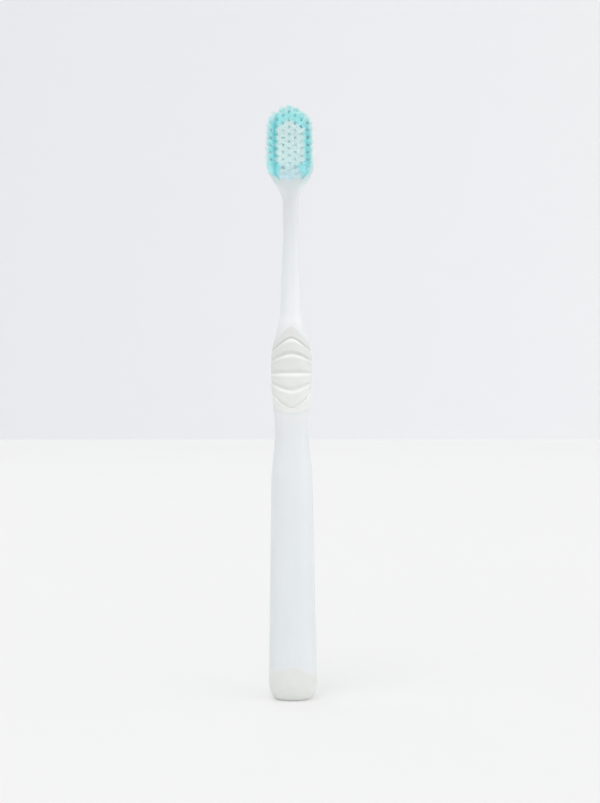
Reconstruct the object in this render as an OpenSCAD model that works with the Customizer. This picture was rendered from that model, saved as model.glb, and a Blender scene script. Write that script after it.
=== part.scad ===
// Manual toothbrush standing on its foot, in millimetres.
// The origin is the centre of the flat under the foot. +Z runs up the handle, and the tufts face -Y.
// The moulded pieces are built up from rings: one ring of points round the handle for each height.

/* [Overall] */
// Height of the whole brush, from the foot to the tip of the head
total_h = 190; // [184:1:198]

/* [Handle] */
// Width of the handle just above the foot
base_w = 15.5; // [14.5:0.1:17]
// Front to back depth of the handle just above the foot
base_d = 12.6; // [11.5:0.1:14]
// Width where the handle starts to draw in
shoulder_w = 13.4; // [12.8:0.1:14.5]
// Depth where the handle starts to draw in
shoulder_d = 11.2; // [10.6:0.1:12.5]
// Height where the handle starts to draw in
shoulder_z = 69; // [62:1:72]
// Width of the waist under the thumb grip
waist_w = 11; // [10.4:0.1:12.5]
// Depth of the waist
waist_d = 9.8; // [9.2:0.1:11]
// Height of the narrowest part of the waist
waist_z = 85.5; // [84:0.5:87]

/* [End cap] */
// How far the rounded bottom edge draws in
foot_edge_w = 2.9; // [2:0.1:3.2]
// Height of the rounded bottom edge
foot_edge_h = 6; // [4:0.1:7]
// Height of the end cap at its sides
cap_h = 10.4; // [9:0.1:13]
// How far the front and back of the end cap rise above its sides
cap_rise = 1.4; // [0:0.1:2]
// Thickness of the soft wall round the tongue
cap_wall = 1.6; // [1.2:0.1:2.2]
// Thickness of the soft floor under the tongue
cap_floor = 2.6; // [2:0.1:3.5]

/* [Thumb grip] */
// Width of the grip at its fullest
grip_w = 13.3; // [12.5:0.1:14.5]
// Depth of the grip at its fullest
grip_d = 12.8; // [11.8:0.1:13.8]
// Height where the grip becomes full
grip_z = 104.5; // [103:0.5:106]
// Length over which the grip stays full
grip_full_h = 4; // [2:0.5:6]
// How far the grip leans towards the thumb
grip_lean = 0.7; // [0:0.1:1.2]
// Height of the lower end of the soft sleeve at its sides
sleeve_z = 93.1; // [92.5:0.1:94]
// Length of the soft sleeve at its sides
sleeve_h = 23.8; // [23:0.1:25]
// Thickness of the soft sleeve
sleeve_t = 1.3; // [1:0.05:1.6]
// Depth of the grooves at the front and back of the sleeve
groove_depth = 0.6; // [0.3:0.05:0.75]
// Depth of the grooves at the sides of the sleeve
groove_side_depth = 0.3; // [0.15:0.05:0.5]
// Width of the grooves in the sleeve
groove_w = 1.3; // [1:0.1:1.6]

/* [Neck] */
// Width of the neck where it leaves the grip
root_w = 7; // [6.4:0.1:8]
// Depth of the neck where it leaves the grip
root_d = 7.2; // [6.6:0.1:8]
// Height where the neck leaves the grip
root_z = 126; // [124:0.5:130]
// Width of the neck at its thinnest
neck_w = 5.2; // [4.8:0.1:6]
// Depth of the neck at its thinnest
neck_d = 5; // [4.6:0.1:5.6]
// How far the middle of the neck bows back
neck_bow = 1.6; // [0:0.1:2]

/* [Head] */
// Width of the head plate
head_w = 15.4; // [14.8:0.1:17]
// Thickness of the head plate before its face is made flat
head_t = 5.2; // [5:0.1:5.8]
// How far the flat face lies in front of the middle of the head
face_depth = 2; // [1.9:0.05:2.2]
// Length of the flare between the neck and the head
flare_h = 12.2; // [11:0.1:14]
// Length of the head at its full width
straight_h = 7.4; // [6.5:0.1:9]
// Length of the rounded tip of the head
tip_h = 10; // [9.5:0.1:12]

/* [Tufts] */
// Diameter of a tuft hole
hole_dia = 1.6; // [1.4:0.05:1.7]
// Depth of a tuft hole
hole_depth = 3; // [2.8:0.1:3.2]
// Plastic left between the outer holes and the side of the head
side_rim = 1.5; // [1.3:0.05:1.6]
// Plastic left above the highest hole
tip_rim = 2.1; // [1.8:0.05:2.3]
// Distance from the highest row of tufts to the lowest
field_h = 19.1; // [18.5:0.1:19.6]
// Free length of a tuft, from the face of the head to its ends
tuft_len = 10.5; // [8:0.1:12]
// How far the outermost strands of a tuft lean out over that length
tuft_spread = 0.27; // [0.1:0.01:0.3]
// Strands in a tuft
strands = 6; // [5:1:7]

/* [Anchors] */
// Thickness of the strip that holds a tuft
anchor_t = 0.25; // [0.2:0.01:0.3]
// Height of the strip, along the hole
anchor_h = 1.2; // [0.8:0.05:1.4]
// How far each end of the strip bites into the wall of the hole
anchor_bite = 0.12; // [0.05:0.01:0.15]
// Thickness of the folded filament under the strip
fold_t = 0.5; // [0.3:0.05:0.7]

/* [Fits] */
// Gap between the hard core and what is moulded onto it
mould_gap = 0.1; // [0.05:0.01:0.15]
// Gap round a tuft in its hole, and round the strip in the tuft
tuft_gap = 0.05; // [0.03:0.01:0.08]

/* [Hidden] */
columns = 7;
white_columns = [2, 3, 4, 5, 6];

// Points round each ring, sides of a tuft hole, and the overrun of a cut
ring_points = 32;
hole_sides = 10;
cut = 0.5;

// Colours, as the photograph shows them
hard_white = [0.90, 0.92, 0.93];
soft_white = [0.89, 0.89, 0.87];
aqua = [0.50, 0.85, 0.88];
pale = [0.87, 0.93, 0.94];
metal = [0.78, 0.66, 0.40];

// Squareness of a section: 2 is an ellipse, and more is squarer
handle_power = 2.5;
neck_power = 2.2;
head_power = 4;
// How squarely the head's thickness ends at its tip
tip_power = 8;

// Heights along the neck and the head
grip_end_z = grip_z + grip_full_h;
tip_z = total_h - tip_h;
head_z = tip_z - straight_h;
flare_z = head_z - flare_h;
thin_share = 0.7;
thin_z = root_z + (flare_z - root_z) * thin_share;
bow_z = (root_z + flare_z) / 2;

// The five grooves from the lowest up: their height at the sides and how far their front rises above
// it, as shares of the sleeve's length. The ends of the sleeve rise too.
groove_side_share = [0.215, 0.367, 0.495, 0.655, 0.785];
groove_rise_share = [-0.194, -0.104, 0, 0.093, 0.177];
low_rise_share = -0.053;
top_rise_share = 0.139;
// How bluntly a curved line turns at the front and back, and how far round a groove keeps its depth
arch_power = 1.7;
groove_power = 6;

// Rings in each stretch of the moulded pieces, and the angles of the rings on a rounded end
tongue_shares = [0, 0.3, 0.65, 1];
foot_angles = [0, 22, 45, 68, 90];
base_levels = 3;
waist_levels = 6;
under_grip_levels = 2;
lining_levels = 7;
above_grip_levels = 2;
neck_levels = 7;
flare_levels = 10;
head_levels = 2;
tip_angles = [14, 27, 39, 50, 60, 69, 77, 84];

// Tufts: how many stand in each column, and how many of them are aqua at the heel of the head
tufts_in_column = [7, 9, 9, 10, 9, 9, 7];
heel_aqua = [7, 2, 0, 0, 0, 2, 7];
tip_aqua = 2;
longest_column = max(tufts_in_column);
// How much further apart the tufts stand at their ends than at the face
fan_share = 0.07;
// Size of a strand at its root against its share of the tuft, and at its end against its root
strand_share = 0.82;
strand_end_share = 0.75;

middle_column = (columns - 1) / 2;
pitch_x = (head_w - 2 * side_rim - hole_dia) / (columns - 1);
pitch_z = field_h / (longest_column - 1);
top_row_z = total_h - tip_rim - hole_dia / 2;
field_mid_z = top_row_z - field_h / 2;
hole_floor_y = hole_depth - face_depth;
anchor_y = hole_floor_y - fold_t - anchor_h / 2;
plug_r = hole_dia / 2 * cos(180 / hole_sides) - tuft_gap;

// Share of the way from one height to another, straight or eased at both ends
function ramp(z, from, to) = min(1, max(0, (z - from) / (to - from)));
function ease(z, from, to) = let (t = ramp(z, from, to)) t * t * (3 - 2 * t);

// A size that changes along the brush, from its value at each named height
function along(z, base, shoulder, waist, grip, root, neck, head) =
    base
    + (shoulder - base) * ramp(z, foot_edge_h, shoulder_z)
    + (waist - shoulder) * ease(z, shoulder_z, waist_z)
    + (grip - waist) * ease(z, waist_z, grip_z)
    + (root - grip) * ease(z, grip_end_z, root_z)
    + (neck - root) * ramp(z, root_z, thin_z)
    + (head - neck) * ease(z, flare_z, head_z);

// How far the rounded bottom edge draws the skin in: a quarter of an ellipse
function foot_inset(z) =
    let (t = 1 - ramp(z, 0, foot_edge_h))
    foot_edge_w * (1 - sqrt(1 - t * t));

// Share of the head's width and thickness that is left in its rounded tip
function tip_width_share(z) = let (t = ramp(z, tip_z, total_h)) sqrt(1 - t * t);
function tip_thick_share(z) =
    let (t = ramp(z, tip_z, total_h))
    pow(1 - pow(t, tip_power), 1 / tip_power);

function skin_w(z) =
    along(z, base_w, shoulder_w, waist_w, grip_w, root_w, neck_w, head_w) * tip_width_share(z)
    - 2 * foot_inset(z);
function skin_d(z) =
    along(z, base_d, shoulder_d, waist_d, grip_d, root_d, neck_d, head_t) * tip_thick_share(z)
    - 2 * foot_inset(z);
function skin_power(z) =
    along(z, handle_power, handle_power, handle_power, handle_power, neck_power, neck_power, head_power);

// Middle of the section: the grip leans forward and the neck bows back
function skin_mid(z) =
    neck_bow * ease(z, grip_end_z, bow_z) * (1 - ease(z, bow_z, head_z))
    - grip_lean * ease(z, waist_z, grip_z) * (1 - ease(z, grip_end_z, root_z));

// Nothing stands in front of the head's flat face, whose plane slants away below the flare
function face_y(z) = -face_depth - head_t * (1 - ramp(z, bow_z, flare_z));

// A value raised to a power with its sign kept
function signed_pow(v, p) = sign(v) * pow(abs(v), p);

// Share of a curved line's rise, or of a groove's extra depth, at an angle round the handle: 1 at the
// front and back, 0 at the sides, and near 1 further round the greater the power is
function arch(angle, power) = 1 - pow(abs(cos(angle)), power * 2 / handle_power);

// A ring is given as [height at its sides, rise of its front and back, depth under the skin at its
// sides, extra depth at its front and back]
function ring_point(angle, ring) =
    let (
        z = ring[0] + ring[1] * arch(angle, arch_power),
        depth = ring[2] + ring[3] * arch(angle, groove_power),
        p = 2 / skin_power(z),
        x = (skin_w(z) / 2 - depth) * signed_pow(cos(angle), p),
        y = skin_mid(z) + (skin_d(z) / 2 - depth) * signed_pow(sin(angle), p)
    )
    [x, max(y, face_y(z)), z];
function ring_pts(ring) = [for (i = [0:ring_points - 1]) ring_point(360 * i / ring_points, ring)];

// Two triangles for each cell between two rings
function band(low, high) =
    [for (i = [0:ring_points - 1])
        let (j = (i + 1) % ring_points, a = low * ring_points, b = high * ring_points)
        each [[a + i, b + i, b + j], [a + i, b + j, a + j]]];

// A solid through a list of rings, closed by a point at each end
module ringed_solid(rings, low_point, high_point) {
    count = len(rings);
    low = count * ring_points;
    polyhedron(
        points = concat([for (ring = rings) each ring_pts(ring)], [low_point, high_point]),
        faces = concat(
            [for (k = [0:count - 2]) each band(k, k + 1)],
            [for (i = [0:ring_points - 1]) [low, i, (i + 1) % ring_points]],
            [for (i = [0:ring_points - 1])
                let (a = (count - 1) * ring_points)
                [low + 1, a + (i + 1) % ring_points, a + i]]
        )
    );
}

// A sleeve through a list of rings that comes back to the first one
module ringed_sleeve(rings) {
    count = len(rings);
    polyhedron(
        points = [for (ring = rings) each ring_pts(ring)],
        faces = [for (k = [0:count - 1]) each band(k, (k + 1) % count)]
    );
}

// Heights from one to another, without the first
function steps(from, to, count) = [for (i = [1:count]) from + (to - from) * i / count];
function plain_rings(heights) = [for (z = heights) [z, 0, 0, 0]];

// Rings of the tongue in the end cap and of the socket round it, at a share of their height
function cap_ring(share, depth, gap) =
    [cap_floor + (cap_h - cap_floor) * share + gap, cap_rise * share, depth, 0];
function tongue_rings(depth, gap) = [for (share = tongue_shares) cap_ring(share, depth, gap)];

// Rings of the recess under the sleeve and of the sleeve's inside, at a share of their height
function lining_ring(share, depth, gap) =
    [
        sleeve_z + sleeve_h * share + gap,
        sleeve_h * (low_rise_share + (top_rise_share - low_rise_share) * share),
        depth,
        0
    ];
function lining_rings(depth, gap) =
    [for (k = [0:lining_levels])
        let (share = k / lining_levels)
        lining_ring(share, depth, k == 0 ? -gap : k == lining_levels ? gap : 0)];

// The three rings of one groove: its lower edge, its bottom and its upper edge
function groove_rings(i) =
    let (
        z = sleeve_z + sleeve_h * groove_side_share[i],
        rise = sleeve_h * groove_rise_share[i],
        half = groove_w / 2
    )
    [
        [z - half, rise, 0, 0],
        [z, rise, groove_side_depth, groove_depth - groove_side_depth],
        [z + half, rise, 0, 0]
    ];

// The ring half way between two others, on the skin
function between(a, b) = [(a[0] + b[0]) / 2, (a[1] + b[1]) / 2, 0, 0];

// Tuft places on the face: columns from the left, rows from the tip, each column half a row lower
// than the next one towards the middle
function tuft_x(column) = (column - 1 - middle_column) * pitch_x;
function tuft_z(column, row) =
    top_row_z - (row + abs(column - 1 - middle_column) / 2) * pitch_z;
function is_aqua(column, row) =
    row < tip_aqua || row >= tufts_in_column[column - 1] - heel_aqua[column - 1];
function rows_of(column) = [0:tufts_in_column[column - 1] - 1];

module head_holes() {
    for (column = [1:columns])
        for (row = rows_of(column))
            translate([tuft_x(column), hole_floor_y, tuft_z(column, row)])
                rotate([90, 0, 0])
                    rotate([0, 0, 180 / hole_sides])
                        cylinder(h = hole_depth + cut, d = hole_dia, $fn = hole_sides);
}

// The strip that holds one tuft, at its place in the hole, with a gap all round it
module strip(column, row, gap) {
    translate([tuft_x(column), anchor_y, tuft_z(column, row)])
        cube([hole_dia + 2 * anchor_bite + 2 * gap, anchor_h + 2 * gap, anchor_t + 2 * gap], center = true);
}

module anchors(column) {
    color(metal)
        for (row = rows_of(column))
            strip(column, row, 0);
}

module handle_core() {
    tongue_depth = cap_wall + mould_gap;
    recess_depth = sleeve_t + mould_gap;
    sleeve_low_z = sleeve_z + sleeve_h * low_rise_share;
    sleeve_top_z = sleeve_z + sleeve_h * (1 + top_rise_share);
    above_cap_z = cap_h + cap_rise + cap_wall;
    below_sleeve_z = sleeve_low_z - groove_w;
    above_sleeve_z = sleeve_top_z + groove_w;
    rings = concat(
        tongue_rings(tongue_depth, mould_gap),
        [cap_ring(1, 0, mould_gap)],
        plain_rings([above_cap_z]),
        plain_rings(steps(above_cap_z, shoulder_z, base_levels)),
        plain_rings(steps(shoulder_z, waist_z, waist_levels)),
        plain_rings(steps(waist_z, below_sleeve_z, under_grip_levels)),
        [lining_ring(0, 0, -mould_gap)],
        lining_rings(recess_depth, mould_gap),
        [lining_ring(1, 0, mould_gap)],
        plain_rings([above_sleeve_z]),
        plain_rings(steps(above_sleeve_z, root_z, above_grip_levels)),
        plain_rings(steps(root_z, flare_z, neck_levels)),
        plain_rings(steps(flare_z, head_z, flare_levels)),
        plain_rings(steps(head_z, tip_z, head_levels)),
        plain_rings([for (angle = tip_angles) tip_z + tip_h * sin(angle)])
    );
    color(hard_white)
        difference() {
            ringed_solid(rings, [0, 0, cap_floor + mould_gap], [0, 0, total_h]);
            head_holes();
            for (column = [1:columns])
                for (row = rows_of(column))
                    strip(column, row, 0);
        }
}

module thumb_grip() {
    grooves = [for (i = [0:len(groove_side_share) - 1]) groove_rings(i)];
    last = len(grooves) - 1;
    low = lining_ring(0, 0, 0);
    top = lining_ring(1, 0, 0);
    outside = concat(
        [low, between(low, grooves[0][0])],
        [for (i = [0:last])
            each concat(grooves[i], i < last ? [between(grooves[i][2], grooves[i + 1][0])] : [])],
        [between(grooves[last][2], top), top]
    );
    lining = lining_rings(sleeve_t, 0);
    inside = [for (k = [lining_levels:-1:0]) lining[k]];
    color(soft_white)
        ringed_sleeve(concat(outside, inside));
}

module end_cap() {
    edge_rings = plain_rings([for (angle = foot_angles) foot_edge_h * (1 - cos(angle))]);
    side_ring = [(foot_edge_h + cap_h) / 2, cap_rise / 2, 0, 0];
    socket = tongue_rings(cap_wall, 0);
    color(soft_white)
        ringed_solid(
            concat(edge_rings, [side_ring, cap_ring(1, 0, 0)], [for (k = [len(socket) - 1:-1:0]) socket[k]]),
            [0, 0, 0],
            [0, 0, cap_floor]
        );
}

// One tuft: a plug of folded filament in its hole, round the strip, and strands that lean apart above
// the face. Each strand grows out of its own slice of the plug, and every face is a triangle.
module tuft(column, row) {
    root = [tuft_x(column), tuft_z(column, row)];
    end = [root[0] * (1 + fan_share), root[1] + (root[1] - field_mid_z) * fan_share];
    corner = [for (k = [0:strands - 1]) plug_r * [cos(360 * k / strands), sin(360 * k / strands)]];
    slice = [for (k = [0:strands - 1]) [corner[k], corner[(k + 1) % strands], [0, 0]]];
    middle = [for (s = slice) (s[0] + s[1] + s[2]) / 3];
    foot = [for (k = [0:strands - 1]) [for (c = slice[k]) middle[k] + (c - middle[k]) * strand_share]];
    tip = [for (k = [0:strands - 1])
        [for (c = foot[k])
            middle[k] + (c - middle[k]) * strand_end_share + middle[k] / norm(middle[k]) * tuft_spread]];
    floor_y = hole_floor_y - tuft_gap;
    face = 2 * strands;
    points = concat(
        [for (c = corner) [root[0] + c[0], floor_y, root[1] + c[1]]],
        [for (c = corner) [root[0] + c[0], -face_depth, root[1] + c[1]]],
        [[root[0], -face_depth, root[1]]],
        [for (f = foot) each [for (c = f) [root[0] + c[0], -face_depth, root[1] + c[1]]]],
        [for (t = tip) each [for (c = t) [end[0] + c[0], -face_depth - tuft_len, end[1] + c[1]]]]
    );
    faces = concat(
        [for (k = [1:strands - 2]) [0, k + 1, k]],
        [for (k = [0:strands - 1])
            let (
                n = (k + 1) % strands,
                f = face + 1 + 3 * k,
                t = f + 3 * strands,
                a = strands + k,
                b = strands + n
            )
            each [
                [k, n, b], [k, b, a],
                [a, b, f + 1], [a, f + 1, f],
                [b, face, f + 2], [b, f + 2, f + 1],
                [face, a, f], [face, f, f + 2],
                [f, f + 1, t + 1], [f, t + 1, t],
                [f + 1, f + 2, t + 2], [f + 1, t + 2, t + 1],
                [f + 2, f, t], [f + 2, t, t + 2],
                [t, t + 1, t + 2]
            ]]
    );
    difference() {
        polyhedron(points = points, faces = faces);
        strip(column, row, tuft_gap);
    }
}

module tufts(column, in_aqua) {
    color(in_aqua ? aqua : pale)
        for (row = rows_of(column))
            if (is_aqua(column, row) == in_aqua)
                tuft(column, row);
}

handle_core();
thumb_grip();
end_cap();
for (i = [1:columns])
    tufts(i, true);
for (i = white_columns)
    tufts(i, false);
for (i = [1:columns])
    anchors(i);
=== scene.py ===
# %% [markdown]
# This scene dresses a manual toothbrush that stands upright on its soft foot. The brush is a hard handle
# core, a soft thumb grip and a soft end cap moulded onto it, sixty tufts of filament and the sixty metal
# strips that hold them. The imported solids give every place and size. The moulded pieces and the filaments
# are built here again as finer surfaces in the same frame, because facets and thick strands that are right
# for a solid would show up close. Each step says what the piece is, how it could be made, and why this way
# was chosen.

import bpy
import numpy as np
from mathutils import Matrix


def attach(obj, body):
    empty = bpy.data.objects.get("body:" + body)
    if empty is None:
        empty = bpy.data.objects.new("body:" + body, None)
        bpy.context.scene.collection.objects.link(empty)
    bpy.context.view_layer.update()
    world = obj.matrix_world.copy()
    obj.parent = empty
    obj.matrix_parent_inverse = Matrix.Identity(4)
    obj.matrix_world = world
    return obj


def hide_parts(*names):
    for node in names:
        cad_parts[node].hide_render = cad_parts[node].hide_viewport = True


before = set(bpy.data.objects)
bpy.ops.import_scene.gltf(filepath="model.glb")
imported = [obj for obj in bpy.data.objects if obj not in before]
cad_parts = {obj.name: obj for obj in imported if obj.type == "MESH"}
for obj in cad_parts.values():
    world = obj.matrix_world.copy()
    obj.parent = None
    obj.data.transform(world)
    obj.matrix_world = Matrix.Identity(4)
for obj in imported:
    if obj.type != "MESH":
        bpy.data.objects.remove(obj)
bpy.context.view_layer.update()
MM = 0.001

# %% [markdown]
# The moulded skin is one smooth form from the foot to the tip of the head. It could be drawn as curves and
# lofted, but its section changes all the way up: wide and flat above the foot, drawn in at the waist, full
# at the grip, thin at the neck and square at the head. So the skin is worked out from its width, its depth
# and the place of its middle, each a number that moves from one named height to the next. The values are
# those of the solids, in millimetres. In these names W is a width, D or T a depth from front to back, H a
# height and Z a place above the table.

# %% Sizes of the handle
TOTAL_H = 190.0
BASE_W, BASE_D = 15.5, 12.6
SHOULDER_W, SHOULDER_D, SHOULDER_Z = 13.4, 11.2, 69.0
WAIST_W, WAIST_D, WAIST_Z = 11.0, 9.8, 85.5
GRIP_W, GRIP_D, GRIP_Z, GRIP_END_Z = 13.3, 12.8, 104.5, 108.5
ROOT_W, ROOT_D, ROOT_Z = 7.0, 7.2, 126.0
NECK_W, NECK_D = 5.2, 5.0
HEAD_W, HEAD_T, FACE_DEPTH = 15.4, 5.2, 2.0
TIP_H = 10.0
TIP_Z = TOTAL_H - TIP_H
HEAD_STRAIGHT_H, FLARE_H, THIN_SHARE = 7.4, 12.2, 0.7
HEAD_Z = TIP_Z - HEAD_STRAIGHT_H
FLARE_Z = HEAD_Z - FLARE_H
THIN_Z = ROOT_Z + THIN_SHARE * (FLARE_Z - ROOT_Z)
BOW_Z = (ROOT_Z + FLARE_Z) / 2
FOOT_EDGE_W, FOOT_EDGE_H = 2.9, 6.0
GRIP_LEAN, NECK_BOW = 0.7, 1.6
HANDLE_POWER, NECK_POWER, HEAD_POWER, TIP_POWER = 2.5, 2.2, 4.0, 8.0
EDGE_ROUNDING = 0.5
print("head from", round(FLARE_Z, 1), "to", TOTAL_H, "mm")

# %% [markdown]
# A size that changes along the brush is a sum of steps, each of which comes in over its own stretch. A
# straight step keeps a taper straight, and an eased one, the cubic that starts and stops level, turns
# softly at a shoulder or a waist.


# %% A size along the brush
def ramp(z, low, high):
    """Share of the way from low to high, held at nought below and at one above."""
    return np.clip((z - low) / (high - low), 0, 1)


def ease(z, low, high):
    """The ramp t turned into 3 t squared less 2 t cubed, which is level at both ends."""
    t = ramp(z, low, high)
    return t * t * (3 - 2 * t)


def along(z, base, shoulder, waist, grip, root, neck, head):
    """The value at each height: base plus each change times the share of its stretch that is passed."""
    return (
        base
        + (shoulder - base) * ramp(z, FOOT_EDGE_H, SHOULDER_Z)
        + (waist - shoulder) * ease(z, SHOULDER_Z, WAIST_Z)
        + (grip - waist) * ease(z, WAIST_Z, GRIP_Z)
        + (root - grip) * ease(z, GRIP_END_Z, ROOT_Z)
        + (neck - root) * ramp(z, ROOT_Z, THIN_Z)
        + (head - neck) * ease(z, FLARE_Z, HEAD_Z)
    )


def foot_inset(z):
    """A quarter ellipse: w (1 - sqrt(1 - t squared)), with t falling from one at the floor to nought."""
    t = 1 - ramp(z, 0, FOOT_EDGE_H)
    return FOOT_EDGE_W * (1 - np.sqrt(1 - t * t))


print("at a quarter of the way a ramp has gone", ramp(0.25, 0, 1), "and an eased step", ease(0.25, 0, 1))


# %% Width, depth and middle of the skin
def skin_size(z):
    """Half width, half depth and squareness of the section at each height."""
    t = ramp(z, TIP_Z, TOTAL_H)
    width = along(z, BASE_W, SHOULDER_W, WAIST_W, GRIP_W, ROOT_W, NECK_W, HEAD_W) * np.sqrt(1 - t * t)
    depth = along(z, BASE_D, SHOULDER_D, WAIST_D, GRIP_D, ROOT_D, NECK_D, HEAD_T)
    depth = depth * (1 - t**TIP_POWER) ** (1 / TIP_POWER)
    power = along(z, *[HANDLE_POWER] * 4, NECK_POWER, NECK_POWER, HEAD_POWER)
    return width / 2 - foot_inset(z), depth / 2 - foot_inset(z), power


def skin_middle(z):
    """The middle leans forward at the grip and bows back along the neck."""
    bow = NECK_BOW * ease(z, GRIP_END_Z, BOW_Z) * (1 - ease(z, BOW_Z, HEAD_Z))
    return bow - GRIP_LEAN * ease(z, WAIST_Z, GRIP_Z) * (1 - ease(z, GRIP_END_Z, ROOT_Z))


def face_y(z):
    """The plane of the head's flat face, which slants away in front of the neck below the flare."""
    return -FACE_DEPTH - HEAD_T * (1 - ramp(z, BOW_Z, FLARE_Z))


def rounded_max(a, b, k):
    """The larger of a and b, with the corner between them rounded where they are within k."""
    h = np.clip(k - np.abs(a - b), 0, None) / k
    return np.maximum(a, b) + h * h * k / 4


for place, z in (("shoulder", SHOULDER_Z), ("waist", WAIST_Z), ("grip", GRIP_Z), ("neck", THIN_Z)):
    print(place, "half width and half depth", [round(float(size), 2) for size in skin_size(z)[:2]], "mm")

# %% [markdown]
# Each height gives one ring of points. Equal angles would leave wide steps across the head's flat face,
# where the tuft holes need close ones. So one set of directions serves every ring: close equal steps across
# the face, and equal angles round the sides and the back. A point lies where its direction meets the
# squared ellipse, at a distance of (|cos|^n + |sin|^n)^(-1/n).

# %% Rings of points
FRONT_STEPS, BACK_STEPS = 112, 72
FACE_SHARE = FACE_DEPTH / (HEAD_T / 2)
FACE_HALF = (1 - FACE_SHARE**HEAD_POWER) ** (1 / HEAD_POWER)
ARCH_POWER, GROOVE_POWER = 1.7, 6.0
corner = np.arctan2(-FACE_SHARE, FACE_HALF)
front = np.arctan2(-FACE_SHARE, np.linspace(-FACE_HALF, FACE_HALF, FRONT_STEPS + 1))[:-1]
back = np.linspace(corner, np.pi - corner, BACK_STEPS + 1)[:-1]
DIRECTIONS = np.concatenate([front, back])


def on_section(power):
    """Shares of the half width and half depth, for each ring and each direction."""
    c, s = np.cos(DIRECTIONS), np.sin(DIRECTIONS)
    r = (np.abs(c) ** power + np.abs(s) ** power) ** (-1 / power)
    return r * c, r * s


def arch(power):
    """One at the front and back and nought at the sides: 1 - |X|^power, with X the share of the width."""
    return 1 - np.abs(on_section(HANDLE_POWER)[0]) ** power


def skin(side_z, rise=0.0, side_depth=0.0, front_depth=None):
    """Points of many rings at once. A ring is at side_z at its sides and rise higher at its front and
    back, and it lies side_depth under the skin at its sides and front_depth at its front and back."""
    front_depth = side_depth if front_depth is None else front_depth
    side_z, rise, side_depth, front_depth = np.broadcast_arrays(
        *[np.atleast_1d(np.asarray(v, float)) for v in (side_z, rise, side_depth, front_depth)]
    )
    z = side_z[:, None] + rise[:, None] * arch(ARCH_POWER)
    inset = side_depth[:, None] + (front_depth - side_depth)[:, None] * arch(GROOVE_POWER)
    half_w, half_d, power = skin_size(z)
    across, out = on_section(power)
    y = rounded_max(skin_middle(z) + (half_d - inset) * out, face_y(z), EDGE_ROUNDING)
    return np.stack([(half_w - inset) * across, y, z], axis=-1)


print(len(DIRECTIONS), "points round each ring,", round(FACE_HALF * HEAD_W / FRONT_STEPS, 3), "mm apart")

# %% [markdown]
# Rings become a mesh by joining each to the next with four-sided faces. A tube is closed by one point at
# each end, and a sleeve comes back to its own first ring. Whole index arrays make the faces, so no loop
# runs over points. Edges sharper than a set angle keep their crease, and the rest shade smoothly.

# %% From points to meshes
CREASE = np.radians(38)


def ring_faces(rings, points, wrap=False):
    """Faces between each ring and the next, and from the last to the first if it wraps."""
    k = np.arange(rings if wrap else rings - 1)[:, None]
    i = np.arange(points)[None, :]
    low, high = k * points, (k + 1) % rings * points
    j = (i + 1) % points
    return np.stack([low + i, low + j, high + j, high + i], axis=-1).reshape(-1, 4)


def make_piece(name, points, quads, triangles=(), crease=CREASE):
    """A mesh object from points in millimetres, with its place in the mesh and its object at the origin."""
    quads, triangles = np.asarray(quads).reshape(-1, 4), np.asarray(triangles, int).reshape(-1, 3)
    sizes = np.concatenate([np.full(len(quads), 4), np.full(len(triangles), 3)])
    mesh = bpy.data.meshes.new(name)
    mesh.vertices.add(len(points))
    mesh.vertices.foreach_set("co", (np.asarray(points, float) * MM).astype(np.float32).ravel())
    mesh.loops.add(int(sizes.sum()))
    corners = np.concatenate([quads.ravel(), triangles.ravel()])
    mesh.loops.foreach_set("vertex_index", corners.astype(np.int32))
    mesh.polygons.add(len(sizes))
    mesh.polygons.foreach_set("loop_start", (np.cumsum(sizes) - sizes).astype(np.int32))
    mesh.update(calc_edges=True)
    mesh.validate()
    mesh.shade_smooth()
    if crease:
        mesh.set_sharp_from_angle(angle=crease)
    piece = bpy.data.objects.new(name, mesh)
    bpy.context.scene.collection.objects.link(piece)
    print(name, len(points), "points,", len(quads) * 2 + len(triangles), "triangles")
    return piece


def put_values(piece, label, values):
    """A number at each point of a piece, which its material reads by the label."""
    attribute = piece.data.attributes.new(label, "FLOAT", "POINT")
    attribute.data.foreach_set("value", np.asarray(values, float).ravel().astype(np.float32))


def end_fans(rings, points):
    """Triangles from the first ring to one point and from the last ring to another. The two points come
    after those of all the rings."""
    i = np.arange(points)
    j, last = (i + 1) % points, (rings - 1) * points
    low_end = np.stack([np.full(points, rings * points), j, i], axis=-1)
    high_end = np.stack([np.full(points, rings * points + 1), last + i, last + j], axis=-1)
    return np.concatenate([low_end, high_end])


def closed_tube(name, rings, low_point, high_point):
    """A solid through rings from the bottom up, closed by a point at each end."""
    count, around = rings.shape[:2]
    points = np.concatenate([rings.reshape(-1, 3), [low_point, high_point]])
    return make_piece(name, points, ring_faces(count, around), end_fans(count, around))


# %% [markdown]
# The tufts stand in seven columns, and each column is set half a step lower than the next one towards the
# middle. Their places come from the head's width and the length of the field, so the holes, the filaments
# and the strips all agree.

# %% Places of the tufts
COLUMNS = 7
TUFTS_IN_COLUMN = [7, 9, 9, 10, 9, 9, 7]
HEEL_AQUA = [7, 2, 0, 0, 0, 2, 7]
TIP_AQUA = 2
HOLE_R, HOLE_DEPTH, SIDE_RIM, TIP_RIM, FIELD_H = 0.8, 3.0, 1.5, 2.1, 19.1
PITCH_X = (HEAD_W - 2 * SIDE_RIM - 2 * HOLE_R) / (COLUMNS - 1)
PITCH_Z = FIELD_H / (max(TUFTS_IN_COLUMN) - 1)
TOP_ROW_Z = TOTAL_H - TIP_RIM - HOLE_R


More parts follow.
